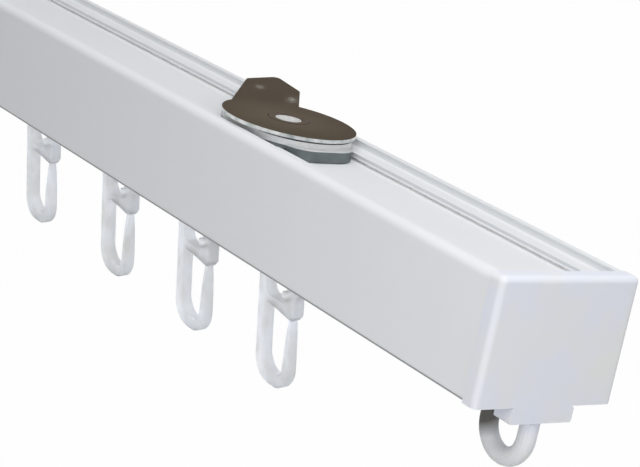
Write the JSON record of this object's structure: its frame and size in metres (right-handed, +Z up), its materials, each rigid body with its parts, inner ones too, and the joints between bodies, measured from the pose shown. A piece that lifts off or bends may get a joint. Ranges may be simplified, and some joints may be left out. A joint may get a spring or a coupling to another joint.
{
  "type": "curtain track",
  "caption": "White ceiling curtain track: slotted box rail with end caps, sliding hook gliders below and a turn-lock ceiling clip in the top slot.",
  "frame": {"origin": "on the clip's screw axis, in the plane where the clip's lever meets the ceiling", "axes": "+X along the rail towards the end that the picture shows whole, +Z up"},
  "size_m": [0.1956, 0.0306, 0.047],
  "materials": {
    "rail_white": "satin white powder coat on extruded aluminium",
    "cap_white": "smooth white moulded plastic",
    "glider_white": "milky white moulded plastic, slightly translucent",
    "clip_plated": "bright plated steel, mirror-like, sheared at the edge",
    "clip_rivet_steel": "bright plated steel, flared by pressing",
    "clip_zinc": "plain zinc, slightly rough"
  },
  "bodies": {
    "track": {"track_profile": "rail_white", "end_cap_right": "cap_white", "end_cap_left": "cap_white", "clip_base": "clip_zinc", "clip_spring_washer": "clip_zinc", "clip_rivet": "clip_rivet_steel"},
    "clip_lock": {"clip_lever": "clip_plated", "clip_cam": "clip_zinc"},
    "glider_1": {"glider_hook_1": "glider_white"},
    "glider_2": {"glider_hook_2": "glider_white"},
    "glider_3": {"glider_hook_3": "glider_white"},
    "glider_4": {"glider_hook_4": "glider_white"}
  },
  "joints": [
    {"name": "clip_turn", "type": "hinge", "parent": "track", "child": "clip_lock", "pos_m": [0, 0, 0], "axis": [0, 0, 1], "range_deg": [-90, 0]},
    {"name": "glider_1_slide", "type": "slide", "parent": "track", "child": "glider_1", "axis": [1, 0, 0], "range_m": [-0.0128, 0.0102]},
    {"name": "glider_2_slide", "type": "slide", "parent": "track", "child": "glider_2", "axis": [1, 0, 0], "range_m": [-0.0103, 0.0085]},
    {"name": "glider_3_slide", "type": "slide", "parent": "track", "child": "glider_3", "axis": [1, 0, 0], "range_m": [-0.0086, 0.0078]},
    {"name": "glider_4_slide", "type": "slide", "parent": "track", "child": "glider_4", "axis": [1, 0, 0], "range_m": [-0.0078, 0.0515]}
  ]
}
